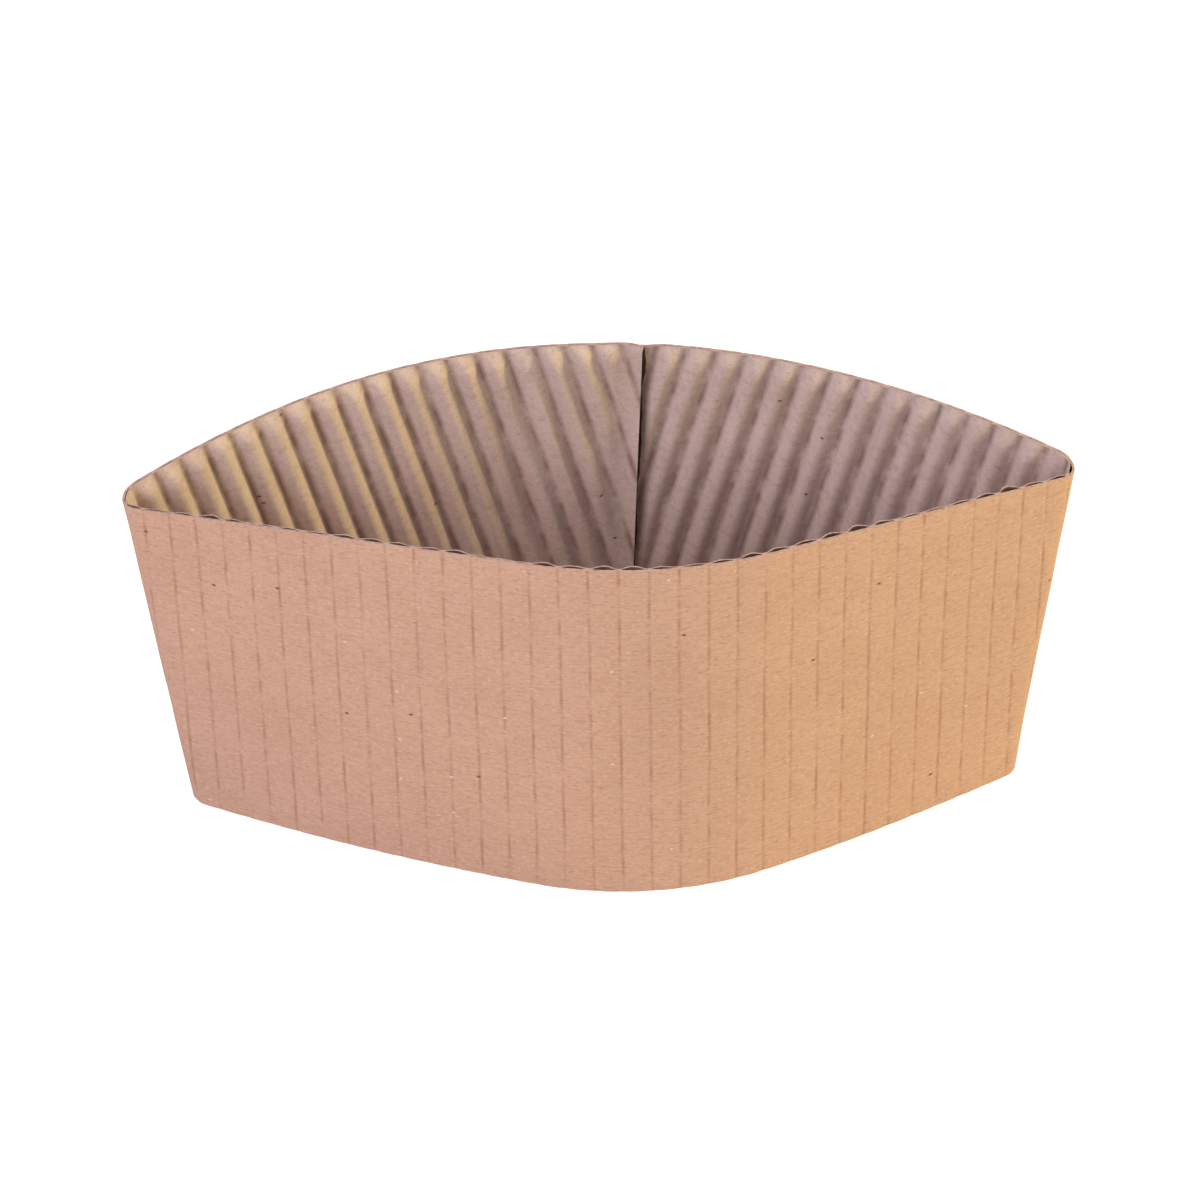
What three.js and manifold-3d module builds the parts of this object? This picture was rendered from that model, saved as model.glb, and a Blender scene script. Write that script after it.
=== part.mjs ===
// A coffee cup sleeve: one blank of single-face corrugated kraft board, folded at two
// opposite folds, lapped and glued at the back, and pushed half open so that it stands.
// The flat liner faces out and the bare flutes face in. Millimetres and radians, +Z up.
// The front panel faces -Y, the two folds lie on the X axis and the lap is at +Y.
import * as THREE from 'three';
import { mergeGeometries, mergeVertices } from 'three/addons/utils/BufferGeometryUtils.js';
import Module from 'manifold-3d';

const wasm = await Module();
wasm.setup();

// The blank: two equal panels, wider and crowned along the top edge, straight along the bottom
const panel_top = 125.5;
const panel_bottom = 113.2;
const height_middle = 50.2;
const height_fold = 45.1;

// The lap at the back, measured both ways from the middle of the back panel
const lap_inner_end = 5.2;
const lap_outer_end = 5.0;
const lap_ramp = 9;

// The board: a liner with a fluted medium glued to its inner face
const liner_thickness = 0.3;
const medium_thickness = 0.25;
const flute_height = 0.95;
const flute_pitch = 3.5;
const flute_offset = 1.09;
const washboard_depth = 0.04;
const glue_sink = 0.05;

// What is left of the flutes where they are crushed, from the liner's inner face to the crest
const crushed_in_lap = 0.48;
const crushed_in_fold = 0.66;

// The glue in the lap, how deep it soaks into each sheet, and its distance from the lap's edges
const glue_thickness = 0.12;
const glue_in_liner = 0.15;
const glue_in_medium = 0.05;
const glue_margin = 1.5;

// The opened loop along its top edge, as arcs: both folds, the front panel with a tighter
// bend to the right of its middle, and the back panel with one too
const fold_length = 6.9;
const front_radius = 317;
const front_bend_radius = 41.7;
const front_bend_length = 31;
const front_bend_place = 5.1;
const back_bend_radius = 76.6;
const back_bend_length = 50;
const back_bend_place = 10.5;

// Fineness of the mesh
const points_per_half_wave = 3;
const rows = 4;
const glue_pieces = 4;
const shortest_edge = 0.003;

const kraft = new THREE.MeshStandardMaterial({ color: 0xcfa283, roughness: 0.92, metalness: 0 });

// The loop is a chain of arcs that starts at the left fold and runs along the front panel,
// round the right fold and back along the back panel. Two curvatures are free, the back
// panel's outside its bend and the left fold's, and they are solved so that the chain
// closes on itself. The right fold takes what is left of the full turn.
function chain(back, left_fold) {
  const half_fold = fold_length / 2;
  const front_start = panel_top / 2 + front_bend_place - front_bend_length / 2;
  const back_start = panel_top / 2 + back_bend_place - back_bend_length / 2;
  const pieces = [
    { length: half_fold, curvature: left_fold },
    { length: front_start - half_fold, curvature: 1 / front_radius },
    { length: front_bend_length, curvature: 1 / front_bend_radius },
    { length: panel_top - half_fold - front_start - front_bend_length, curvature: 1 / front_radius },
    { length: fold_length, curvature: 0 },
    { length: back_start - half_fold, curvature: back },
    { length: back_bend_length, curvature: 1 / back_bend_radius },
    { length: panel_top - half_fold - back_start - back_bend_length, curvature: back },
    { length: half_fold, curvature: left_fold },
  ];
  const turned = pieces.reduce((sum, piece) => sum + piece.length * piece.curvature, 0);
  const right_fold = pieces.find((piece) => piece.curvature === 0);
  right_fold.curvature = (2 * Math.PI - turned) / fold_length;
  return pieces;
}

// Where a walker along one arc stands and looks after some distance
function walk(from, curvature, distance) {
  const turn = curvature * distance;
  const heading = from.heading + turn / 2;
  const bend = Math.abs(turn) < 1e-9 ? 1 : Math.sin(turn / 2) / (turn / 2);
  return {
    x: from.x + distance * bend * Math.cos(heading),
    y: from.y + distance * bend * Math.sin(heading),
    heading: from.heading + turn,
  };
}

function along(arcs, distance, start = { x: 0, y: 0, heading: 0 }) {
  let here = start;
  let left = distance;
  for (const arc of arcs) {
    here = walk(here, arc.curvature, Math.min(left, arc.length));
    left -= arc.length;
    if (left <= 0) break;
  }
  return here;
}

function close_loop() {
  let back = 1 / panel_top;
  let left_fold = 2 / fold_length;
  const nudge = 1e-5;
  for (let round = 0; round < 20; round += 1) {
    const gap = along(chain(back, left_fold), 2 * panel_top);
    const by_back = along(chain(back + nudge / panel_top, left_fold), 2 * panel_top);
    const by_fold = along(chain(back, left_fold + nudge / fold_length), 2 * panel_top);
    const slope = new THREE.Matrix3(
      (by_back.x - gap.x) / nudge, (by_fold.x - gap.x) / nudge, 0,
      (by_back.y - gap.y) / nudge, (by_fold.y - gap.y) / nudge, 0,
      0, 0, 1,
    ).invert();
    const step = new THREE.Vector3(gap.x, gap.y, 0).applyMatrix3(slope);
    back -= step.x / panel_top;
    left_fold -= step.y / fold_length;
  }
  return chain(back, left_fold);
}

// The closed loop, turned so that the line between the two folds is the X axis
const arcs = close_loop();
const right_fold = along(arcs, panel_top);
const fold_heading = Math.atan2(right_fold.y, right_fold.x);
const fold_span = Math.hypot(right_fold.x, right_fold.y);
const loop_start = { x: -fold_span / 2, y: 0, heading: -fold_heading };

function loop_at(distance) {
  const whole = 2 * panel_top;
  return along(arcs, ((distance % whole) + whole) % whole, loop_start);
}

// Flat panels: the fold lines lean outwards, and a point past one is mirrored back over it
const half_top = panel_top / 2;
const half_bottom = panel_bottom / 2;
const fold_lean = Math.atan2(half_top - half_bottom, height_fold);

function mirror(x, z) {
  const reach = (x - half_bottom) * Math.sin(fold_lean) + z * Math.cos(fold_lean);
  return {
    x: half_bottom - (x - half_bottom) + 2 * reach * Math.sin(fold_lean),
    z: -z + 2 * reach * Math.cos(fold_lean),
  };
}

function panel_height(part) {
  return height_middle - (height_middle - height_fold) * part * part;
}

function half_width(share) {
  return half_bottom + (half_top - half_bottom) * share;
}

// A point of the flat blank, given as the distance round the top edge from the front
// panel's middle and the share of the height at which it lies
function on_panels(x, z) {
  const side = x < 0 ? -1 : 1;
  const past = (side * x - half_bottom) * Math.cos(fold_lean) - z * Math.sin(fold_lean) > 0;
  const point = past ? mirror(side * x, z) : { x: side * x, z };
  let part = point.x / half_top;
  let share = 0;
  for (let round = 0; round < 30; round += 1) {
    share = point.z / panel_height(part);
    part = point.x / half_width(share);
  }
  const distance = past ? panel_top - part * half_top : part * half_top;
  return { distance: side * distance, share };
}

// A smooth rise from 0 at one value to 1 at another, which may be the lower of the two
function smooth(from, to, value) {
  const t = THREE.MathUtils.clamp((value - from) / (to - from), 0, 1);
  return t * t * (3 - 2 * t);
}

// Flutes are crushed at both folds and towards both ends of the blank: the share of their
// height that is left
const board_thickness = liner_thickness + flute_height + medium_thickness;
const full_flutes = flute_height + medium_thickness;
const crushed_thickness = liner_thickness + crushed_in_lap;
const lap_step = crushed_thickness + glue_thickness;

function crush_at(distance) {
  const from_middle = Math.abs(distance);
  const from_fold = Math.abs(from_middle - half_top);
  const whole_at_fold = smooth(0, fold_length, from_fold);
  const whole_in_panel = smooth(panel_top - lap_inner_end, panel_top - lap_ramp, from_middle);
  const fold = THREE.MathUtils.lerp(crushed_in_fold / full_flutes, 1, whole_at_fold);
  return fold * THREE.MathUtils.lerp(crushed_in_lap / full_flutes, 1, whole_in_panel);
}

// The left end of the blank steps inwards to pass behind the right end
function step_at(distance) {
  return lap_step * smooth(panel_top - lap_ramp, panel_top - lap_outer_end, -distance);
}

// A point of the opened sleeve, some way inwards from where the liner's outer face lies
function on_sleeve(distance, share, inwards) {
  const here = loop_at(distance + half_top);
  const scale = half_width(share) / half_top;
  const part = distance / half_top;
  const nearest = Math.abs(part) <= 1 ? part : 2 - Math.abs(part);
  return new THREE.Vector3(
    here.x * scale - inwards * Math.sin(here.heading),
    here.y * scale + inwards * Math.cos(here.heading),
    panel_height(nearest) * share,
  );
}

// From the flat blank to the opened sleeve, with the depth measured inwards from the liner's face
function opened(x, depth, z) {
  const { distance, share } = on_panels(x, z);
  const flutes = Math.max(depth - liner_thickness, 0) * crush_at(distance);
  return on_sleeve(distance, share, Math.min(depth, liner_thickness) + flutes + step_at(distance));
}

function to_solid(geometry) {
  const bare = geometry.index ? geometry.toNonIndexed() : geometry;
  bare.deleteAttribute('normal');
  bare.deleteAttribute('uv');
  const merged = mergeVertices(bare, 1e-5);
  return new wasm.Manifold(new wasm.Mesh({
    numProp: 3,
    vertProperties: new Float32Array(merged.attributes.position.array),
    triVerts: new Uint32Array(merged.index.array),
  }));
}

function to_geometry(solid) {
  const mesh = solid.getMesh();
  const geometry = new THREE.BufferGeometry();
  geometry.setAttribute('position', new THREE.BufferAttribute(new Float32Array(mesh.vertProperties), 3));
  geometry.setIndex(new THREE.BufferAttribute(new Uint32Array(mesh.triVerts), 1));
  return geometry;
}

// Ends of edges that are too short to matter become one point, and flattened faces go
function weld(geometry) {
  const places = geometry.attributes.position;
  const corners = Array.from(geometry.index.array);
  const point = (i) => new THREE.Vector3().fromBufferAttribute(places, i);
  const joined = Array.from({ length: places.count }, (_, i) => i);
  const root = (i) => (joined[i] === i ? i : root(joined[i]));
  for (let i = 0; i < corners.length; i += 1) {
    const next = i % 3 === 2 ? i - 2 : i + 1;
    const [a, b] = [root(corners[i]), root(corners[next])];
    if (a !== b && point(a).distanceTo(point(b)) < shortest_edge) joined[b] = a;
  }
  const faces = [];
  for (let i = 0; i < corners.length; i += 3) {
    const face = [root(corners[i]), root(corners[i + 1]), root(corners[i + 2])];
    if (new Set(face).size === 3) faces.push(...face);
  }
  geometry.setIndex(faces);
  return geometry;
}

function move_points(geometry, to_place) {
  const places = geometry.attributes.position;
  for (let i = 0; i < places.count; i += 1) {
    const place = to_place(places.getX(i), places.getY(i), places.getZ(i));
    places.setXYZ(i, place.x, place.y, place.z);
  }
  return geometry;
}

// The wave of the medium, from its glue line on the liner to its crest and back
const steps_per_pitch = 2 * points_per_half_wave;

function wave(step) {
  return (1 - Math.cos((2 * Math.PI * step) / steps_per_pitch)) / 2;
}

// The section of the board over one flute, x along the blank and y into the sleeve: the
// liner outside, the medium's wave inside and a tunnel between them. The medium sinks a
// little into the glue on the liner, and the liner dips at each glue line.
function flute_section(flute) {
  const at = (step) => flute_offset + (flute + step / steps_per_pitch) * flute_pitch;
  const section = new THREE.Shape();
  section.moveTo(at(0), washboard_depth);
  section.lineTo(at(steps_per_pitch / 2), 0);
  section.lineTo(at(steps_per_pitch), washboard_depth);
  const sunk = liner_thickness + medium_thickness - glue_sink;
  for (let step = steps_per_pitch; step >= 0; step -= 1) {
    section.lineTo(at(step), sunk + (flute_height + glue_sink) * wave(step));
  }
  const tunnel = new THREE.Path();
  tunnel.moveTo(at(1), liner_thickness + washboard_depth);
  for (let step = 2; step < steps_per_pitch - 1; step += 1) {
    tunnel.lineTo(at(step), liner_thickness + flute_height * wave(step));
  }
  tunnel.lineTo(at(steps_per_pitch - 1), liner_thickness + washboard_depth);
  tunnel.lineTo(at(steps_per_pitch / 2), liner_thickness);
  section.holes.push(tunnel);
  return section;
}

// Neighbouring flutes are one sheet, so the faces between them are left out
function without_faces_between(geometry, first_flute, last_flute) {
  const places = geometry.attributes.position.array;
  const kept = [];
  for (let i = 0; i < places.length; i += 9) {
    const flute = Math.round((places[i] - flute_offset) / flute_pitch);
    const border = Math.fround(flute_offset + flute * flute_pitch);
    const flat = [0, 3, 6].every((corner) => places[i + corner] === border);
    if (!flat || flute === first_flute || flute === last_flute) kept.push(...places.slice(i, i + 9));
  }
  const sheet = new THREE.BufferGeometry();
  return sheet.setAttribute('position', new THREE.Float32BufferAttribute(kept, 3));
}

// The other way up along the flutes, with the faces still outwards. It turns the diagonal
// of each wall face, so that on both folds it runs with the fold.
function upside_down(geometry) {
  geometry.scale(1, 1, -1).translate(0, 0, 1);
  const places = geometry.attributes.position;
  for (let i = 0; i < places.count; i += 3) {
    const second = new THREE.Vector3().fromBufferAttribute(places, i + 1);
    const third = new THREE.Vector3().fromBufferAttribute(places, i + 2);
    places.setXYZ(i + 1, ...third);
    places.setXYZ(i + 2, ...second);
  }
  return geometry;
}

function fluted_board(first_flute, last_flute) {
  const flutes = [];
  for (let flute = first_flute; flute < last_flute; flute += 1) {
    const piece = new THREE.ExtrudeGeometry(flute_section(flute), { depth: 1, steps: rows, bevelEnabled: false });
    flutes.push(flute < 0 ? piece : upside_down(piece));
  }
  return without_faces_between(mergeGeometries(flutes), first_flute, last_flute);
}

// A point of the flat blank's outline: part of the way to the fold, up one edge, on one panel
function flat_point(part, share, past_fold) {
  const flat = { x: part * half_width(share), z: share * panel_height(part) };
  return past_fold ? mirror(flat.x, flat.z) : flat;
}

// The height of the flat blank's bottom edge (share 0) or top edge (share 1) at some x
function edge_height(x, share) {
  const reach = Math.abs(x);
  if (reach <= half_width(share)) return flat_point(reach / half_width(share), share, false).z;
  let near = 1;
  let far = -1;
  for (let round = 0; round < 50; round += 1) {
    const part = (near + far) / 2;
    if (flat_point(part, share, true).x < reach) near = part;
    else far = part;
  }
  return flat_point(near, share, true).z;
}

// What is cut away beyond one end of the blank, along a line across the back panel
function end_waste(side, past_middle) {
  const part = -past_middle / half_top;
  const low = flat_point(part, 0, true);
  const high = flat_point(part, 1, true);
  const lean = (high.x - low.x) / (high.z - low.z);
  const reach = height_middle;
  const far_low = low.x - reach * lean;
  const far_high = high.x + reach * lean;
  const outline = new THREE.Shape([
    new THREE.Vector2(side * far_low, low.z - reach),
    new THREE.Vector2(side * (far_high + reach), low.z - reach),
    new THREE.Vector2(side * (far_high + reach), high.z + reach),
    new THREE.Vector2(side * far_high, high.z + reach),
  ]);
  const waste = new THREE.ExtrudeGeometry(outline, { depth: 4 * board_thickness, bevelEnabled: false });
  waste.translate(0, 0, -2 * board_thickness);
  return waste.rotateX(Math.PI / 2);
}

// The flat board, extruded along its flutes from the bottom edge to the top edge, with
// both ends cut off
function flat_blank() {
  const rightmost = flat_point(-lap_outer_end / half_top, 1, true).x;
  const leftmost = -flat_point(-lap_inner_end / half_top, 1, true).x;
  const first_flute = Math.floor((leftmost - flute_offset) / flute_pitch);
  const last_flute = Math.ceil((rightmost - flute_offset) / flute_pitch);
  const board = fluted_board(first_flute, last_flute);
  move_points(board, (x, depth, share) => new THREE.Vector3(
    x,
    depth,
    THREE.MathUtils.lerp(edge_height(x, 0), edge_height(x, 1), share),
  ));
  return to_solid(board)
    .subtract(to_solid(end_waste(1, lap_outer_end)))
    .subtract(to_solid(end_waste(-1, lap_inner_end)));
}

// The glue between the two ends in the lap, which bites a little into both of them
function glue_strip() {
  const outer = crushed_thickness - glue_in_medium;
  const inner = lap_step + glue_in_liner;
  const from = panel_top - lap_inner_end + glue_margin;
  const to = panel_top + lap_outer_end - glue_margin;
  const margin = glue_margin / height_middle;
  const strip = new THREE.BoxGeometry(1, 1, 1, glue_pieces, 1, 1);
  strip.translate(0.5, 0.5, 0.5);
  return move_points(strip, (across, through, up) => on_sleeve(
    THREE.MathUtils.lerp(from, to, across),
    THREE.MathUtils.lerp(margin, 1 - margin, up),
    THREE.MathUtils.lerp(outer, inner, through),
  ));
}

const opened_blank = move_points(to_geometry(flat_blank()), opened);
const geometry = weld(to_geometry(to_solid(opened_blank).add(to_solid(glue_strip()))));
geometry.computeBoundingBox();
const middle = geometry.boundingBox.getCenter(new THREE.Vector3());
geometry.translate(-middle.x, -middle.y, 0);
geometry.computeVertexNormals();

const board = new THREE.Mesh(geometry, kraft);
board.name = 'sleeve_board';
const sleeve = new THREE.Group();
sleeve.add(board);

export default sleeve;
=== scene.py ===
# %% [markdown]
# A coffee cup sleeve is one piece of single-face corrugated board: a flat kraft liner outside and a
# wavy medium glued to its inner face. The blank is cut flat, folded at two folds, lapped and glued at
# the back, and here it is pushed half open. This lesson makes it in the order that a factory does:
# flute the board, cut the blank, fold it open, then give the paper its look.

# %% Load the frame
import math
import bmesh
import bpy
import numpy as np
from mathutils import Matrix, Vector, noise


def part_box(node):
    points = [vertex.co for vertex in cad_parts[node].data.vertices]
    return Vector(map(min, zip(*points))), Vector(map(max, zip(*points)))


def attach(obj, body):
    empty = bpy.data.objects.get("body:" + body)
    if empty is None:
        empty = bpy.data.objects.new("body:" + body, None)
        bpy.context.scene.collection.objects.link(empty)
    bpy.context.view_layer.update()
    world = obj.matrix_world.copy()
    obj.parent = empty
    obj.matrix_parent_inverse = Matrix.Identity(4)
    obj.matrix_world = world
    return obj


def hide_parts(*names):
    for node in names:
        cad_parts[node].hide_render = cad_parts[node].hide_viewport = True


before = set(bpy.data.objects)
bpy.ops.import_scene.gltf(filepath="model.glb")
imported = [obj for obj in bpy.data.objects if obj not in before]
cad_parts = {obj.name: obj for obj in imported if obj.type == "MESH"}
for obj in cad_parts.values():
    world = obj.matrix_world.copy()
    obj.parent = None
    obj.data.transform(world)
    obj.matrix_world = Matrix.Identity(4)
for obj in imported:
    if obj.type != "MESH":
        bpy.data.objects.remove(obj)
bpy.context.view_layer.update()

# %% [markdown]
# The driving sizes are those of the solid model, in metres. Both panels are wider along their
# crowned top edge than along their straight bottom edge, which gives the sleeve its taper.

# %% The blank's sizes
MM = 0.001
PANEL_TOP = 125.5 * MM
PANEL_BOTTOM = 113.2 * MM
HEIGHT_MIDDLE = 50.2 * MM
HEIGHT_FOLD = 45.1 * MM
HALF_TOP = PANEL_TOP / 2
HALF_BOTTOM = PANEL_BOTTOM / 2
print("ring of", 2 * PANEL_TOP, "m at the top and", 2 * PANEL_BOTTOM, "m at the bottom")

# %% [markdown]
# Seen from above, the opened sleeve is a closed chain of arcs: two tight folds, a front panel with a
# tighter bend right of its middle, and a calmer back panel. Two curvatures are left free and solved,
# so that the chain closes, as the glued board does by itself.

# %% The chain of arcs
FOLD_LENGTH = 6.9 * MM
FRONT_RADIUS = 317 * MM
FRONT_BEND = {"radius": 41.7 * MM, "length": 31 * MM, "place": 5.1 * MM}
BACK_BEND = {"radius": 76.6 * MM, "length": 50 * MM, "place": 10.5 * MM}


def panel_arcs(curvature, bend):
    """One panel between its folds: a plain stretch, the bend and a plain stretch again."""
    half_fold = FOLD_LENGTH / 2
    start = HALF_TOP + bend["place"] - bend["length"] / 2
    rest = PANEL_TOP - half_fold - start - bend["length"]
    return [(start - half_fold, curvature), (bend["length"], 1 / bend["radius"]), (rest, curvature)]


def chain(back, left_fold):
    """All arcs as lengths and curvatures, from the middle of the left fold and back to it."""
    half = (FOLD_LENGTH / 2, left_fold)
    front_panel = panel_arcs(1 / FRONT_RADIUS, FRONT_BEND)
    back_panel = panel_arcs(back, BACK_BEND)
    turned = sum(length * bend for length, bend in [half, half] + front_panel + back_panel)
    right_fold = (FOLD_LENGTH, (2 * math.pi - turned) / FOLD_LENGTH)
    return [half] + front_panel + [right_fold] + back_panel + [half]


def walk(arcs, distance, start=(0.0, 0.0, 0.0)):
    """Place and heading after some distance along the arcs, for a whole array of distances."""
    x, y, heading = (np.full(distance.shape, value) for value in start)
    left = distance.copy()
    for length, bend in arcs:
        step = np.clip(left, 0, length)
        turn = bend * step
        chord = step * np.sinc(turn / 2 / np.pi)
        x = x + chord * np.cos(heading + turn / 2)
        y = y + chord * np.sin(heading + turn / 2)
        heading = heading + turn
        left = left - step
    return x, y, heading

# %% Close the chain
NEWTON_STEPS = 20
NUDGE = 1e-5


def close_loop():
    """Newton's method on the two free curvatures, until the chain ends where it began."""
    unknown = np.array([1 / PANEL_TOP, 2 / FOLD_LENGTH])
    whole = np.array([2 * PANEL_TOP])
    for _ in range(NEWTON_STEPS):
        gap = np.array(walk(chain(*unknown), whole))[:2, 0]
        slopes = []
        for k in range(2):
            nudged = unknown.copy()
            nudge = unknown[k] * NUDGE
            nudged[k] += nudge
            slopes.append((np.array(walk(chain(*nudged), whole))[:2, 0] - gap) / nudge)
        unknown = unknown - np.linalg.solve(np.array(slopes).T, gap)
    return chain(*unknown)


ARCS = close_loop()
fold_x, fold_y, _ = walk(ARCS, np.array([PANEL_TOP]))
START = (-math.hypot(fold_x[0], fold_y[0]) / 2, 0.0, -math.atan2(fold_y[0], fold_x[0]))
print("loop closed with", len(ARCS), "arcs")

# %% [markdown]
# The flat blank is a fan of three pieces: the front panel in the middle and half a back panel at each
# side, which is the front panel's mirror image over the leaning fold line. So a point of the flat
# blank is found on the folded sleeve by mirroring it back over that line.

# %% From the flat blank to the folded panels
LEAN = math.atan2(HALF_TOP - HALF_BOTTOM, HEIGHT_FOLD)
REPEATS = 30


def panel_height(part):
    return HEIGHT_MIDDLE - (HEIGHT_MIDDLE - HEIGHT_FOLD) * part**2


def half_width(share):
    return HALF_BOTTOM + (HALF_TOP - HALF_BOTTOM) * share


def mirror(x, z):
    reach = (x - HALF_BOTTOM) * math.sin(LEAN) + z * math.cos(LEAN)
    return 2 * HALF_BOTTOM - x + 2 * reach * math.sin(LEAN), -z + 2 * reach * math.cos(LEAN)


def on_panels(x, z):
    """Distance along the top edge from the front's middle, and share of the height."""
    reach = np.abs(x)
    past = (reach - HALF_BOTTOM) * math.cos(LEAN) - z * math.sin(LEAN) > 0
    mirrored_x, mirrored_z = mirror(reach, z)
    flat_x = np.where(past, mirrored_x, reach)
    flat_z = np.where(past, mirrored_z, z)
    part = flat_x / HALF_TOP
    for _ in range(REPEATS):
        share = flat_z / panel_height(part)
        part = flat_x / half_width(share)
    distance = np.where(past, PANEL_TOP - part * HALF_TOP, part * HALF_TOP)
    return np.where(x < 0, -distance, distance), share

# %% The blank's outline
LAP_OUTER_END = 5.0 * MM
LAP_INNER_END = 4.5 * MM
INNER_END_LEAN = 2.1 * MM
OUTER_END = (LAP_OUTER_END, 0.0)
INNER_END = (LAP_INNER_END, INNER_END_LEAN)
ENDS = ((1, OUTER_END), (-1, INNER_END))
HALVINGS = 40


def edge_height(x, share):
    """Height of the flat blank's bottom edge (share 0) or top edge (share 1) at x."""
    reach = np.abs(x)
    inside = panel_height(reach / half_width(share)) * share
    near = np.ones_like(x)
    far = -np.ones_like(x)
    for _ in range(HALVINGS):
        part = (near + far) / 2
        too_near = mirror(part * half_width(share), share * panel_height(part))[0] < reach
        near = np.where(too_near, part, near)
        far = np.where(too_near, far, part)
    outside = mirror(near * half_width(share), share * panel_height(near))[1]
    return np.where(reach <= half_width(share), inside, outside)


def end_corners(end):
    """Low and high corner of a cut end that lies past the back's middle, more so at the top."""
    past_middle, lean = end
    low = -past_middle / HALF_TOP
    high = -(past_middle + lean) / HALF_TOP
    return mirror(low * HALF_BOTTOM, 0.0), mirror(high * HALF_TOP, panel_height(high))


def end_line(reach, end):
    """Height at which a cut end crosses some reach from the blank's middle."""
    low, high = end_corners(end)
    return low[1] + (reach - low[0]) * (high[1] - low[1]) / (high[0] - low[0])


print("the blank's ends reach", [side * end_corners(end)[1][0] for side, end in ENDS])

# %% [markdown]
# One flute is a strip of board: a flat liner, a wave of medium over it and a tunnel between them. The
# wave stays down for a fifth of its pitch, where it is glued, and then rises to a round crest, as
# fluting rolls leave it. The strip is one unit long and gets more rows towards both ends, because the
# cut rims are where the flutes change most.

# %% The wave of one flute
LINER = 0.3 * MM
MEDIUM = 0.25 * MM
FLUTE_HEIGHT = 0.95 * MM
FLUTE_PITCH = 3.5 * MM
FLUTE_OFFSET = 1.09 * MM
WASHBOARD = 0.05 * MM
GLUE_SINK = 0.05 * MM
GLUED = 0.3
WAVE_STEPS = 12
ROWS = 20


def wave(step):
    """Height of the medium, from 0 where it is glued to 1 at its crest."""
    return max(0, math.sin(math.pi * step / WAVE_STEPS) - GLUED) / (1 - GLUED)


def wave_columns():
    """For each step, the depths of the board's four faces and how much of each is wave."""
    depths = []
    rises = []
    for step in range(WAVE_STEPS + 1):
        up = wave(step)
        dip = WASHBOARD * (1 - up) ** 3
        roof_rise = (FLUTE_HEIGHT - GLUE_SINK) * up
        crest_rise = (FLUTE_HEIGHT + GLUE_SINK) * up
        floor = LINER + dip
        roof = LINER + GLUE_SINK + roof_rise if up > 0 else floor
        depths.append((dip, floor, roof, LINER + MEDIUM - GLUE_SINK + dip + crest_rise))
        rises.append((0, 0, roof_rise, crest_rise))
    return depths, rises

# %% One flute as a mesh
FACE, FLUTES, TUNNEL, RIM, SEAM = 0, 1, 2, 3, 4


def flute_strip():
    """x across the flute, y inwards, z from 0 to 1 along it."""
    depths, rises = wave_columns()
    points = []
    rise_of_points = []
    for row in range(ROWS + 1):
        along = row / ROWS
        for step in range(WAVE_STEPS + 1):
            x = step / WAVE_STEPS * FLUTE_PITCH
            points += [(x, depth, along * along * (3 - 2 * along)) for depth in depths[step]]
            rise_of_points += rises[step]
    faces = []
    kinds = []

    def add_face(corners, kind, flip):
        face = [(row * (WAVE_STEPS + 1) + step) * 4 + sheet for row, step, sheet in corners]
        faces.append(face[::-1] if flip else face)
        kinds.append(kind)

    for step in range(WAVE_STEPS):
        after = step + 1
        walls = [(0, FACE, False), (3, FLUTES, True)]
        if wave(step) + wave(after) > 0:
            walls += [(1, TUNNEL, True), (2, TUNNEL, False)]
        for row in range(ROWS):
            for sheet, kind, flip in walls:
                near = [(row, step, sheet), (row, after, sheet)]
                far = [(row + 1, after, sheet), (row + 1, step, sheet)]
                add_face(near + far, kind, flip)
        for row, flip in ((0, False), (ROWS, True)):
            for near, far in ((0, 1), (2, 3)):
                corners = [(row, step, near), (row, step, far), (row, after, far), (row, after, near)]
                add_face(corners, RIM, flip)
    mesh = bpy.data.meshes.new("flute_strip")
    mesh.from_pydata(points, [], faces)
    mesh.attributes.new("sheet", "INT", "FACE").data.foreach_set("value", kinds)
    mesh.attributes.new("rise", "FLOAT", "POINT").data.foreach_set("value", rise_of_points)
    return mesh


strip = bpy.data.objects.new("flute_strip", flute_strip())
bpy.context.scene.collection.objects.link(strip)
print("one flute has", len(strip.data.polygons), "faces")

# %% [markdown]
# Every flute is the same, so Geometry Nodes repeat it: a line of points one pitch apart, the strip on
# each of them, and the copies realised and welded into one sheet. Two small helpers serve this tree
# and the materials: one adds a node, and one turns an sRGB hex colour to linear light.

# %% Helpers for node trees


def add_node(tree, kind, settings=None, links=None):
    """Adds one node with its properties, its input values and its incoming links."""
    node = tree.nodes.new(kind)
    for name, value in (settings or {}).items():
        if isinstance(name, str) and hasattr(node, name):
            setattr(node, name, value)
        else:
            node.inputs[name].default_value = value
    for name, socket in (links or {}).items():
        tree.links.new(socket, node.inputs[name])
    return node


def linear(hex_colour):
    """An sRGB hex colour as linear RGBA."""
    values = [int(hex_colour[k:k + 2], 16) / 255 for k in (1, 3, 5)]
    return [v / 12.92 if v <= 0.04045 else ((v + 0.055) / 1.055) ** 2.4 for v in values] + [1.0]

# %% The tree that repeats the flute


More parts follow.
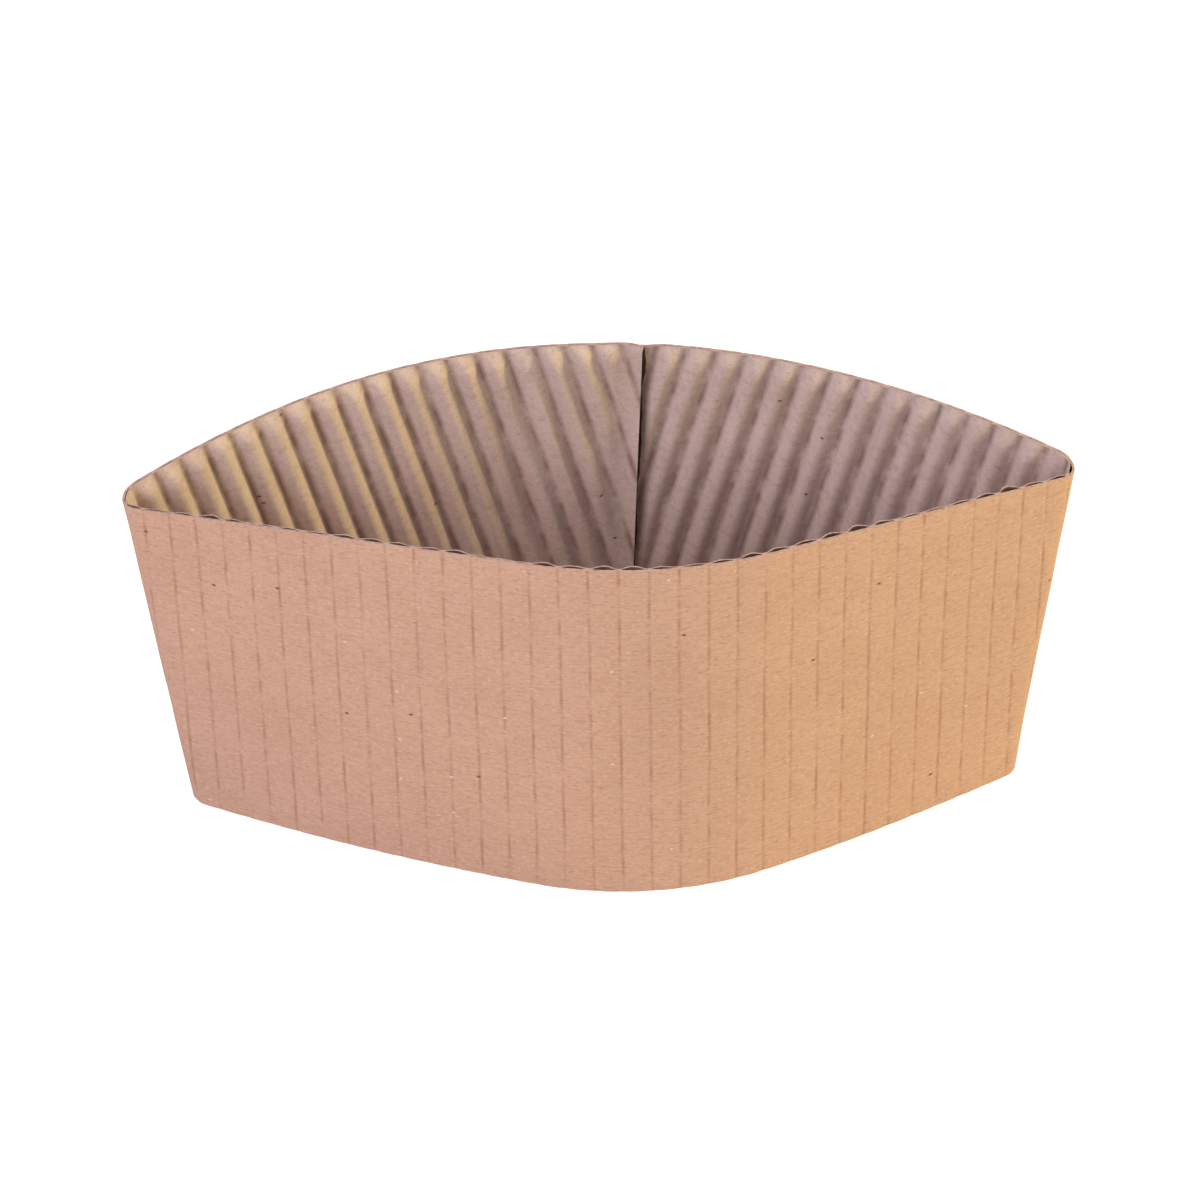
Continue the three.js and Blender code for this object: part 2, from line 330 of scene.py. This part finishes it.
def fluting_tree():
    tree = bpy.data.node_groups.new("fluting", "GeometryNodeTree")
    sockets = {}
    for name, kind in (("Flute", "NodeSocketObject"), ("Count", "NodeSocketInt"),
                       ("Pitch", "NodeSocketFloat"), ("First", "NodeSocketFloat"),
                       ("Weld", "NodeSocketFloat"), ("Finish", "NodeSocketMaterial")):
        sockets[name] = tree.interface.new_socket(name, in_out="INPUT", socket_type=kind).identifier
    tree.interface.new_socket("Geometry", in_out="OUTPUT", socket_type="NodeSocketGeometry")
    given = add_node(tree, "NodeGroupInput").outputs
    step = add_node(tree, "ShaderNodeCombineXYZ", links={"X": given["Pitch"]})
    first = add_node(tree, "ShaderNodeCombineXYZ", links={"X": given["First"]})
    places = add_node(tree, "GeometryNodeMeshLine", {"mode": "OFFSET"}, {
        "Count": given["Count"], "Start Location": first.outputs[0], "Offset": step.outputs[0]})
    flute = add_node(tree, "GeometryNodeObjectInfo", links={"Object": given["Flute"]})
    copies = add_node(tree, "GeometryNodeInstanceOnPoints", links={
        "Points": places.outputs[0], "Instance": flute.outputs["Geometry"]})
    real = add_node(tree, "GeometryNodeRealizeInstances", links={"Geometry": copies.outputs[0]})
    sheet = add_node(tree, "GeometryNodeMergeByDistance", links={
        "Geometry": real.outputs[0], "Distance": given["Weld"]})
    finish = add_node(tree, "GeometryNodeSetMaterial", links={
        "Geometry": sheet.outputs[0], "Material": given["Finish"]})
    add_node(tree, "NodeGroupOutput", links={"Geometry": finish.outputs[0]})
    return tree, sockets

# %% Flute the board
WELD = 0.002 * MM
rightmost = end_corners(OUTER_END)[1][0]
leftmost = -end_corners(INNER_END)[1][0]
first_flute = math.floor((leftmost - FLUTE_OFFSET) / FLUTE_PITCH)
last_flute = math.ceil((rightmost - FLUTE_OFFSET) / FLUTE_PITCH)

tree, sockets = fluting_tree()
carrier = bpy.data.objects.new("board_carrier", bpy.data.meshes.new("board_carrier"))
bpy.context.scene.collection.objects.link(carrier)
fluting = carrier.modifiers.new("fluting", "NODES")
fluting.node_group = tree
fluting[sockets["Flute"]] = strip
fluting[sockets["Count"]] = last_flute - first_flute
fluting[sockets["Pitch"]] = FLUTE_PITCH
fluting[sockets["First"]] = FLUTE_OFFSET + first_flute * FLUTE_PITCH
fluting[sockets["Weld"]] = WELD
fluting[sockets["Finish"]] = bpy.data.materials.new("bare_board")
board = bpy.data.meshes.new_from_object(carrier.evaluated_get(bpy.context.evaluated_depsgraph_get()))
board.name = "sleeve"
for helper in (carrier, strip):
    bpy.data.objects.remove(helper)
print(last_flute - first_flute, "flutes,", len(board.polygons), "faces")

# %% [markdown]
# Cutting moves each column of points between the blank's two edges. Beyond a cut end the bottom edge
# meets the top edge, so those columns have no height, and their faces are deleted.

# %% Cut the blank


def points_of(mesh):
    points = np.empty(len(mesh.vertices) * 3)
    mesh.vertices.foreach_get("co", points)
    return points.reshape(-1, 3)


def drop_waste(mesh, waste):
    """Deletes the faces whose points are all waste, and welds the tips that closed up."""
    work = bmesh.new()
    work.from_mesh(mesh)
    gone = [face for face in work.faces if all(waste[point.index] for point in face.verts)]
    bmesh.ops.delete(work, geom=gone, context="FACES")
    bmesh.ops.remove_doubles(work, verts=work.verts[:], dist=WELD)
    loose = [point for point in work.verts if not point.link_faces]
    bmesh.ops.delete(work, geom=loose, context="VERTS")
    work.to_mesh(mesh)
    work.free()


across, depth, along = points_of(board).T
bottom = edge_height(across, 0.0)
top = edge_height(across, 1.0)
for side, end in ENDS:
    beyond = across * side > end_corners(end)[0][0]
    bottom = np.where(beyond, np.clip(end_line(across * side, end), bottom, top), bottom)
height = bottom + (top - bottom) * along
board.vertices.foreach_set("co", np.stack([across, depth, height], axis=1).ravel())
drop_waste(board, top - bottom < WELD)
print("cut blank:", len(board.polygons), "faces")

# %% [markdown]
# The inner end of the lap is the one cut end that shows inside, and its cut leans a little. Its faces get a
# finish of their own, painted dark as the shade in the gap along the seam. They are the rim faces that lie on
# the end's line.

# %% Find the seam
TOUCH = 0.05 * MM
kinds = np.empty(len(board.polygons), dtype=np.int32)
board.attributes["sheet"].data.foreach_get("value", kinds)
centres = np.empty(len(board.polygons) * 3)
board.polygons.foreach_get("center", centres)
centre_x, _, centre_z = centres.reshape(-1, 3).T
on_seam = np.abs(centre_z - end_line(-centre_x, INNER_END)) < TOUCH
kinds[(kinds == RIM) & on_seam & (centre_x < 0)] = SEAM
print("seam faces:", int((kinds == SEAM).sum()))

# %% [markdown]
# Real board is never quite even. Slow noise bends each sheet a little. The flutes are crushed at the
# folds, pressed flat in the lap, and squeezed by the cutting rule along both edges: unevenly in
# front, and flat behind. A crushed flute loses wave and keeps its paper's thickness, so only the
# rise of each point shrinks.

# %% Slow noise over the blank
across, depth, height = points_of(board).T
rise = np.empty(len(board.vertices))
board.attributes["rise"].data.foreach_get("value", rise)
distance, share = on_panels(across, height)


def smooth(start, end, value):
    t = np.clip((value - start) / (end - start), 0, 1)
    return t * t * (3 - 2 * t)


def mix(a, b, t):
    return a + (b - a) * t


def drift(seed, size_x, size_z, amount):
    """Noise of a given size across and along the flutes, within about 0.9 of the amount each way."""
    values = [noise.noise(Vector((x / size_x + seed, z / size_z, seed))) for x, z in zip(across, height)]
    return amount * np.array(values)


print("points to bend:", len(across))

# %% How much of each flute is left
CRUSHED_IN_LAP = 0.48 * MM
CRUSHED_IN_FOLD = 0.66 * MM
PRESSED_FLAT = 2.2 * MM
PRESSED = 5.5 * MM
FRONT_RIM_SQUEEZE = 3.0 * MM
BACK_RIM_SQUEEZE = 1.5 * MM
FRONT_RIM_LEFT = 0.3
BACK_RIM_LEFT = 0.0
RIM_UNEVEN = 0.7
FLUTE_UNEVEN = 0.25
FLATTEST = -0.03


def wave_left(crushed):
    """Share of the wave that is left at some crushed height over the liner."""
    return (crushed - MEDIUM + GLUE_SINK) / (FLUTE_HEIGHT + GLUE_SINK)


from_middle = np.abs(distance)
part = distance / HALF_TOP
nearest = np.where(np.abs(part) <= 1, part, 2 - np.abs(part))
inner_end = LAP_INNER_END + INNER_END_LEAN * share
to_inner_end = PANEL_TOP + inner_end + distance
to_outer_end = PANEL_TOP + LAP_OUTER_END - distance
lap_width = inner_end + LAP_OUTER_END
free = smooth(PRESSED_FLAT, PRESSED, to_inner_end) * smooth(lap_width, lap_width + PRESSED_FLAT, to_outer_end)
in_panel = smooth(0, FOLD_LENGTH, np.abs(from_middle - HALF_TOP))
left = mix(wave_left(CRUSHED_IN_FOLD), 1, in_panel) * mix(wave_left(CRUSHED_IN_LAP), 1, free)
to_rim = panel_height(nearest) * np.minimum(share, 1 - share)
behind = smooth(HALF_TOP - FOLD_LENGTH, HALF_TOP + FOLD_LENGTH, from_middle)
rim_left = mix(FRONT_RIM_LEFT, BACK_RIM_LEFT, behind) + drift(4.4, 5 * MM, 60 * MM, RIM_UNEVEN) * (1 - behind)
rim_squeeze = mix(FRONT_RIM_SQUEEZE, BACK_RIM_SQUEEZE, behind)
left = np.minimum(left, mix(rim_left, 1, smooth(0, rim_squeeze, to_rim)))
left = np.clip(left * (1 + drift(3.1, 5 * MM, 26 * MM, FLUTE_UNEVEN) * free), FLATTEST, None)
print("wave left, from", left.min(), "to", left.max())

# %% Fold it open
LAP_RAMP = 9.0 * MM
GLUE = 0.12 * MM
END_LIFT = 0.55 * MM
END_LIFT_LENGTH = 2.6 * MM
END_LIFT_UNEVEN = 1.6
BOARD_WAVINESS = 0.22 * MM
inwards = depth - rise * (1 - left) + drift(7.7, 24 * MM, 30 * MM, BOARD_WAVINESS) * free
behind_lap = smooth(PANEL_TOP - LAP_RAMP, PANEL_TOP - LAP_OUTER_END, -distance)
inwards += (LINER + CRUSHED_IN_LAP + GLUE) * behind_lap
lifted = np.clip(1 - to_inner_end / END_LIFT_LENGTH, 0, 1) ** 2
inwards += END_LIFT * lifted * (1 + drift(9.1, 40 * MM, 11 * MM, END_LIFT_UNEVEN))

# The inner end was glued a little too high, so it peeks over the outer one.
LAP_ASKEW = 0.6 * MM
covered = smooth(lap_width + PRESSED_FLAT, lap_width, to_outer_end)
rim_height = panel_height(nearest) + LAP_ASKEW * (behind_lap - covered / 2)
x, y, heading = walk(ARCS, np.mod(distance + HALF_TOP, 2 * PANEL_TOP), START)
taper = half_width(share) / HALF_TOP
placed = np.stack([
    x * taper - inwards * np.sin(heading),
    y * taper + inwards * np.cos(heading),
    rim_height * share,
], axis=1)
cad_low, cad_high = (np.array(corner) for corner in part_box("sleeve_board"))
middle = (placed.min(axis=0) + placed.max(axis=0)) / 2
placed[:, :2] += ((cad_low + cad_high) / 2 - middle)[:2]
board.vertices.foreach_set("co", placed.ravel())
board.update()
print("sleeve box", placed.min(axis=0), placed.max(axis=0))

# %% [markdown]
# The paper's grain, its glue lines and its specks belong to the flat sheet and must bend with it. So
# each point remembers its place on the flat blank in an attribute, which all materials read.

# %% Remember the flat blank
GLUE_LINE_WANDER = 0.12 * MM
remembered = np.stack([across + drift(5.3, 9 * MM, 9 * MM, GLUE_LINE_WANDER), height, depth], axis=1)
board.attributes.new("blank", "FLOAT_VECTOR", "POINT").data.foreach_set("vector", remembered.ravel())
beyond_seam = to_outer_end - lap_width
board.attributes.new("beyond_seam", "FLOAT", "POINT").data.foreach_set("value", beyond_seam)
print("attributes:", [attribute.name for attribute in board.attributes])

# %% [markdown]
# Paper is pulp with a history: long fibres that lie across the flutes, paler and darker flecks, a few specks
# of bark, and broken lines where glue holds the flutes, which on the medium are painted valley shade. Each of
# these is a layer that mixes one colour over the last, with its size in millimetres.

# %% Layers of paper


def flecks(tree, base, colour, size, fade, most, seed):
    """Flecks of one colour over a base: size across and along the flutes in millimetres, the two
    noise values between which a fleck fades in, and the most that it covers."""
    read = add_node(tree, "ShaderNodeAttribute", {"attribute_name": "blank"})
    scale = (1 / (size[0] * MM), 1 / (size[1] * MM), 1 / (size[1] * MM))
    place = add_node(tree, "ShaderNodeMapping", {"Location": (seed, seed, seed), "Scale": scale},
                     {"Vector": read.outputs["Vector"]})
    pulp = add_node(tree, "ShaderNodeTexNoise", {"Scale": 1.0, "Detail": 2.0}, {"Vector": place.outputs[0]})
    cover = add_node(tree, "ShaderNodeMapRange", {"From Min": fade[0], "From Max": fade[1], "To Max": most},
                     {"Value": pulp.outputs["Fac"]})
    return layer(tree, base, colour, cover.outputs[0])


def layer(tree, base, colour, cover):
    """One colour over a base, which is a hex colour or the socket of the layers below."""
    settings = {"data_type": "RGBA", 7: linear(colour)}
    links = {0: cover}
    if isinstance(base, str):
        settings[6] = linear(base)
    else:
        links[6] = base
    return add_node(tree, "ShaderNodeMix", settings, links).outputs[2]

# %% Specks, glue lines and painted shade lines
SPECK_STRETCH = 0.6
SPECK_CORE = 0.4
STROKE_SCALE = (0.45 / MM, 0.28 / MM, 1)
# Size and fade of the painted shade line along the seam.
SEAM_SHADE_SCALE = (0.1 / MM, 0.2 / MM, 0)
SEAM_SHADE_FADE = 0.15 * MM


def specks(tree, base, colour, spacing, radius, kept, seed):
    """Single specks of bark: one in each cell of a loose grid, of which a share is kept."""
    read = add_node(tree, "ShaderNodeAttribute", {"attribute_name": "blank"})
    scale = (SPECK_STRETCH / (spacing * MM), 1 / (spacing * MM), 1)
    place = add_node(tree, "ShaderNodeMapping", {"Location": (seed, seed, 0), "Scale": scale},
                     {"Vector": read.outputs["Vector"]})
    cells = add_node(tree, "ShaderNodeTexVoronoi", {"voronoi_dimensions": "2D", "Scale": 1.0},
                     {"Vector": place.outputs[0]})
    near = add_node(tree, "ShaderNodeMapRange",
                    {"From Min": radius / spacing, "From Max": SPECK_CORE * radius / spacing},
                    {"Value": cells.outputs["Distance"]})
    chance = add_node(tree, "ShaderNodeSeparateColor", links={0: cells.outputs["Color"]})
    chosen = add_node(tree, "ShaderNodeMath", {"operation": "LESS_THAN", 1: kept}, {0: chance.outputs[0]})
    cover = add_node(tree, "ShaderNodeMath", {"operation": "MULTIPLY"},
                     {0: near.outputs[0], 1: chosen.outputs[0]})
    return layer(tree, base, colour, cover.outputs[0])


def glue_and_valley_shade_lines(tree, base, colour, width, fade, most, seed):
    """Broken strokes along each line where a flute is glued, some millimetres wide: glue lines on the liner,
    and painted valley shade on the medium.
    """
    read = add_node(tree, "ShaderNodeAttribute", {"attribute_name": "blank"})
    split = add_node(tree, "ShaderNodeSeparateXYZ", links={0: read.outputs["Vector"]})
    shifted = add_node(tree, "ShaderNodeMath", {"operation": "SUBTRACT", 1: FLUTE_OFFSET},
                       {0: split.outputs[0]})
    away = add_node(tree, "ShaderNodeMath", {"operation": "PINGPONG", 1: FLUTE_PITCH / 2},
                    {0: shifted.outputs[0]})
    line = add_node(tree, "ShaderNodeMapRange", {"From Min": width * MM / 2, "From Max": 0.0},
                    {"Value": away.outputs[0]})
    place = add_node(tree, "ShaderNodeMapping",
                     {"Location": (seed, seed, seed), "Scale": STROKE_SCALE},
                     {"Vector": read.outputs["Vector"]})
    strokes = add_node(tree, "ShaderNodeTexNoise", {"Scale": 1.0, "Detail": 3.0},
                       {"Vector": place.outputs[0]})
    strength = add_node(tree, "ShaderNodeMapRange",
                        {"From Min": fade[0], "From Max": fade[1], "To Min": 0.1, "To Max": most},
                        {"Value": strokes.outputs["Fac"]})
    cover = add_node(tree, "ShaderNodeMath", {"operation": "MULTIPLY"},
                     {0: line.outputs[0], 1: strength.outputs[0]})
    return layer(tree, base, colour, cover.outputs[0])


def painted_seam_shade(tree, base, colour, width, wobble):
    """A dark line of painted shade along the seam, for the shadow in the gap beside the inner end, some
    millimetres wide with a wobble.
    """
    read = add_node(tree, "ShaderNodeAttribute", {"attribute_name": "beyond_seam"})
    blank = add_node(tree, "ShaderNodeAttribute", {"attribute_name": "blank"})
    place = add_node(tree, "ShaderNodeMapping", {"Scale": SEAM_SHADE_SCALE},
                     {"Vector": blank.outputs["Vector"]})
    bumps = add_node(tree, "ShaderNodeTexNoise", {"Scale": 1.0, "Detail": 3.0}, {"Vector": place.outputs[0]})
    edge = add_node(tree, "ShaderNodeMapRange",
                    {"To Min": (width - wobble) * MM, "To Max": (width + wobble) * MM},
                    {"Value": bumps.outputs["Fac"]})
    inside = add_node(tree, "ShaderNodeMath", {"operation": "SUBTRACT"},
                      {0: edge.outputs[0], 1: read.outputs["Fac"]})
    cover = add_node(tree, "ShaderNodeMapRange", {"From Min": 0.0, "From Max": SEAM_SHADE_FADE, "To Max": 0.95},
                     {"Value": inside.outputs[0]})
    return layer(tree, base, colour, cover.outputs[0])


def paper(name, roughness, relief_size, relief_depth):
    """A matte paper with the fine relief of its fibres; its colour is linked in afterwards."""
    material = bpy.data.materials.new(name)
    material.use_nodes = True
    tree = material.node_tree
    tree.nodes.clear()
    read = add_node(tree, "ShaderNodeAttribute", {"attribute_name": "blank"})
    scale = (1 / (relief_size[0] * MM), 1 / (relief_size[1] * MM), 1 / (relief_size[1] * MM))
    place = add_node(tree, "ShaderNodeMapping", {"Scale": scale}, {"Vector": read.outputs["Vector"]})
    fibres = add_node(tree, "ShaderNodeTexNoise", {"Scale": 1.0, "Detail": 3.0}, {"Vector": place.outputs[0]})
    relief = add_node(tree, "ShaderNodeBump", {"Strength": 0.5, "Distance": relief_depth * MM},
                      {"Height": fibres.outputs["Fac"]})
    shader = add_node(tree, "ShaderNodeBsdfPrincipled", {"Roughness": roughness, "Specular IOR Level": 0.25},
                      {"Normal": relief.outputs[0]})
    add_node(tree, "ShaderNodeOutputMaterial", links={"Surface": shader.outputs[0]})
    return material, tree, shader.inputs["Base Color"]

# %% [markdown]
# Five finishes of one board. The liner is smooth, warm brown and striped by its glue lines. The medium is
# rougher and a little greyer, with painted shade in its valleys and a painted shade line along the seam;
# inside its tunnels it is painted dark brown as shade. The rims are cut fibres, and the end in the lap is
# painted dark as the shade in the seam's gap.

# %% Finishes


def kraft_liner():
    """Unbleached kraft liner, machine-made and uncoated: dull, warm brown, fibres across the flutes."""
    material, tree, colour = paper("kraft_liner", 0.88, (0.9, 0.3), 0.05)
    pulp = flecks(tree, "#d0a48b", "#cb9f86", (14, 11), (0.35, 0.65), 1.0, 1.0)
    pulp = flecks(tree, pulp, "#b98b73", (2.4, 0.35), (0.46, 0.74), 0.55, 5.0)
    pulp = flecks(tree, pulp, "#e2bda7", (0.6, 0.2), (0.54, 0.74), 0.7, 11.0)
    pulp = flecks(tree, pulp, "#a67b65", (0.8, 0.2), (0.56, 0.76), 0.75, 23.0)
    pulp = glue_and_valley_shade_lines(tree, pulp, "#9c664c", 0.6, (0.4, 0.66), 0.66, 31.0)
    pulp = specks(tree, pulp, "#e6cbb6", 4.0, 0.18, 0.1, 3.0)
    pulp = specks(tree, pulp, "#6f4d3d", 5.0, 0.22, 0.07, 47.0)
    tree.links.new(pulp, colour)
    return material


def fluting_medium():
    """Fluting medium of recycled pulp: rougher and greyer than the liner, with painted shade in its valleys
    and along the seam.
    """
    material, tree, colour = paper("fluting_medium", 0.92, (0.7, 0.3), 0.06)
    pulp = flecks(tree, "#cab1a6", "#c3a99e", (7, 15), (0.35, 0.65), 1.0, 2.0)
    pulp = flecks(tree, pulp, "#ae9185", (1.6, 0.8), (0.46, 0.72), 0.5, 7.0)
    pulp = flecks(tree, pulp, "#d8c0b4", (0.6, 0.2), (0.54, 0.74), 0.6, 13.0)
    pulp = flecks(tree, pulp, "#a08175", (0.55, 0.2), (0.56, 0.76), 0.6, 29.0)
    # Painted shade: dark bands in the medium's valleys, where the flutes meet the liner.
    pulp = glue_and_valley_shade_lines(tree, pulp, "#6f4b3f", 1.3, (0.3, 0.6), 0.75, 37.0)
    pulp = specks(tree, pulp, "#6b4f43", 4.0, 0.2, 0.09, 41.0)
    # Painted shade: a dark line along the seam, for the shadow in the gap beside the inner end.
    pulp = painted_seam_shade(tree, pulp, "#2e211b", 0.2, 0.6)
    tree.links.new(pulp, colour)
    return material


def tunnel_shade():
    """The hidden side of the fluting inside the tunnels, painted dark brown as the shade in them."""
    material, tree, colour = paper("tunnel_shade", 0.85, (0.7, 0.3), 0.03)
    # Painted shade: dark brown for the shadowed inside of the tunnels.
    pulp = flecks(tree, "#644c41", "#775c4f", (1.0, 3.0), (0.4, 0.65), 1.0, 9.0)
    tree.links.new(pulp, colour)
    return material


def cut_edge():
    """The die-cut rim: bare cut fibres, frayed grey-brown."""
    material, tree, colour = paper("cut_edge", 0.95, (0.3, 0.3), 0.03)
    pulp = flecks(tree, "#b99a95", "#9d807b", (0.5, 0.5), (0.4, 0.65), 1.0, 2.0)
    tree.links.new(pulp, colour)
    return material


def seam_end_shade():
    """The cut end inside the lap, painted dark brown as the shade in the gap along the seam."""
    material, tree, colour = paper("seam_end_shade", 0.7, (0.3, 0.3), 0.03)
    # Painted shade: near-black brown for the shadowed gap at the seam.
    pulp = flecks(tree, "#3b2a22", "#5d4537", (0.8, 2.5), (0.4, 0.65), 1.0, 6.0)
    tree.links.new(pulp, colour)
    return material


board.materials.clear()
for finish in (kraft_liner(), fluting_medium(), tunnel_shade(), cut_edge(), seam_end_shade()):
    board.materials.append(finish)
board.polygons.foreach_set("material_index", kinds)
print("finishes:", [finish.name for finish in board.materials])

# %% [markdown]
# Smooth shading rounds the flutes, and edges sharper than 50 degrees, such as the rims, stay crisp.
# Then the sleeve takes the place of the solid one in the frame.

# %% The sleeve joins the frame
SHARP_EDGE = math.radians(50)
board.shade_smooth()
board.set_sharp_from_angle(angle=SHARP_EDGE)
sleeve = bpy.data.objects.new("sleeve", board)
bpy.context.scene.collection.objects.link(sleeve)
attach(sleeve, "root")
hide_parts("sleeve_board")
print("sleeve triangles:", sum(len(face.vertices) - 2 for face in board.polygons))

# %% [markdown]
# The stage is a plain white table. A pure white ground comes from Light Path: what the camera sees of
# the table glows a little besides the light that falls on it, and the object's shadow takes only that
# light away. The glow doesn't light the sleeve.

# %% White table and pale room
TABLE_GREY = 0.5
TABLE_GLOW = 0.75
TABLE_REACH = 3.0


def seen_directly(tree):
    """1 for what the camera sees, also by reflection or through glass, and 0 for light on objects."""
    rays = add_node(tree, "ShaderNodeLightPath")
    seen = add_node(tree, "ShaderNodeMath", {"operation": "MAXIMUM"},
                    {0: rays.outputs["Is Camera Ray"], 1: rays.outputs["Is Glossy Ray"]})
    return add_node(tree, "ShaderNodeMath", {"operation": "MAXIMUM"},
                    {0: seen.outputs[0], 1: rays.outputs["Is Transmission Ray"]}).outputs[0]


def white_table():
    mesh = bpy.data.meshes.new("table")
    corners = [(x * TABLE_REACH, y * TABLE_REACH, 0) for x, y in ((-1, -1), (1, -1), (1, 1), (-1, 1))]
    mesh.from_pydata(corners, [], [(0, 1, 2, 3)])
    material = bpy.data.materials.new("white_table")
    material.use_nodes = True
    tree = material.node_tree
    tree.nodes.clear()
    matte = add_node(tree, "ShaderNodeBsdfDiffuse", {"Color": (TABLE_GREY, TABLE_GREY, TABLE_GREY, 1)})
    level = add_node(tree, "ShaderNodeMath", {"operation": "MULTIPLY", 1: TABLE_GLOW},
                     {0: seen_directly(tree)})
    glow = add_node(tree, "ShaderNodeEmission", links={"Strength": level.outputs[0]})
    both = add_node(tree, "ShaderNodeAddShader", links={0: matte.outputs[0], 1: glow.outputs[0]})
    add_node(tree, "ShaderNodeOutputMaterial", links={"Surface": both.outputs[0]})
    mesh.materials.append(material)
    table = bpy.data.objects.new("table", mesh)
    bpy.context.scene.collection.objects.link(table)


def pale_room(colour, strength):
    world = bpy.data.worlds.new("pale_room")
    world.use_nodes = True
    tree = world.node_tree
    tree.nodes.clear()
    white = add_node(tree, "ShaderNodeBackground", {"Color": (1, 1, 1, 1), "Strength": 1.0})
    room = add_node(tree, "ShaderNodeBackground", {"Color": linear(colour), "Strength": strength})
    both = add_node(tree, "ShaderNodeMixShader", links={
        0: seen_directly(tree), 1: room.outputs[0], 2: white.outputs[0]})
    add_node(tree, "ShaderNodeOutputWorld", links={"Surface": both.outputs[0]})
    bpy.context.scene.world = world


white_table()
pale_room("#ebefff", 0.47)
print("table and room are white to the camera")

# %% [markdown]
# Three soft lamps light the sleeve, as in the photograph. A cool one stands left of the camera. A low
# yellow one warms the right of the front panel, and a high one far to the right grazes the flutes, so
# that only their flanks at the back left turn golden. A lamp's level is how bright a white card that
# faces it looks, which gives its power.

# %% Three soft lamps


def soft_lamp(name, azimuth, elevation, distance, size, level, colour):
    """A square lamp that looks at the sleeve; azimuth 0 is in front of it and 90 to its right."""
    azimuth, elevation = math.radians(azimuth), math.radians(elevation)
    flat = math.cos(elevation)
    away = Vector((math.sin(azimuth) * flat, -math.cos(azimuth) * flat, math.sin(elevation)))
    data = bpy.data.lights.new(name, "AREA")
    data.size = size
    data.energy = level * math.pi**2 * distance**2
    data.color = linear(colour)[:3]
    lamp = bpy.data.objects.new(name, data)
    lamp.location = away * distance + Vector((0, 0, HEIGHT_MIDDLE / 2))
    lamp.rotation_euler = away.to_track_quat("Z", "Y").to_euler()
    bpy.context.scene.collection.objects.link(lamp)
    print(name, "gives", round(data.energy, 2), "W")


soft_lamp("cool_soft_box", azimuth=-45, elevation=30, distance=1.2, size=0.7, level=0.74, colour="#efedfb")
soft_lamp("warm_low_window", azimuth=55, elevation=10, distance=1.1, size=0.5, level=0.285, colour="#fffdae")
soft_lamp("warm_high_window", azimuth=92, elevation=42, distance=1.1, size=0.25, level=0.82, colour="#fff1b2")

# %% [markdown]
# The camera stands where the photographer's did: a long lens, looking down at about 37 degrees, a
# little left of the middle and very slightly rolled.

# %% Camera
CAMERA_PLACE = (-10.9 * MM, -491.7 * MM, 404.9 * MM)
LOOK_AZIMUTH = math.radians(1.245)
LOOK_DOWN = math.radians(37.43)
ROLL = math.radians(-1.236)
LENS = 154.3
SENSOR = 36.0
CLIP_START = 10 * MM


def photograph_camera():
    data = bpy.data.cameras.new("camera")
    data.sensor_width = SENSOR
    data.lens = LENS
    data.clip_start = CLIP_START
    camera = bpy.data.objects.new("camera", data)
    bpy.context.scene.collection.objects.link(camera)
    turn = Matrix.Rotation(-LOOK_AZIMUTH, 4, "Z")
    tip = Matrix.Rotation(math.pi / 2 - LOOK_DOWN, 4, "X")
    roll = Matrix.Rotation(ROLL, 4, "Z")
    camera.matrix_world = Matrix.Translation(CAMERA_PLACE) @ turn @ tip @ roll
    bpy.context.scene.camera = camera
    print("camera at", tuple(camera.matrix_world.translation))


photograph_camera()
bpy.context.scene.view_settings.view_transform = "Standard"
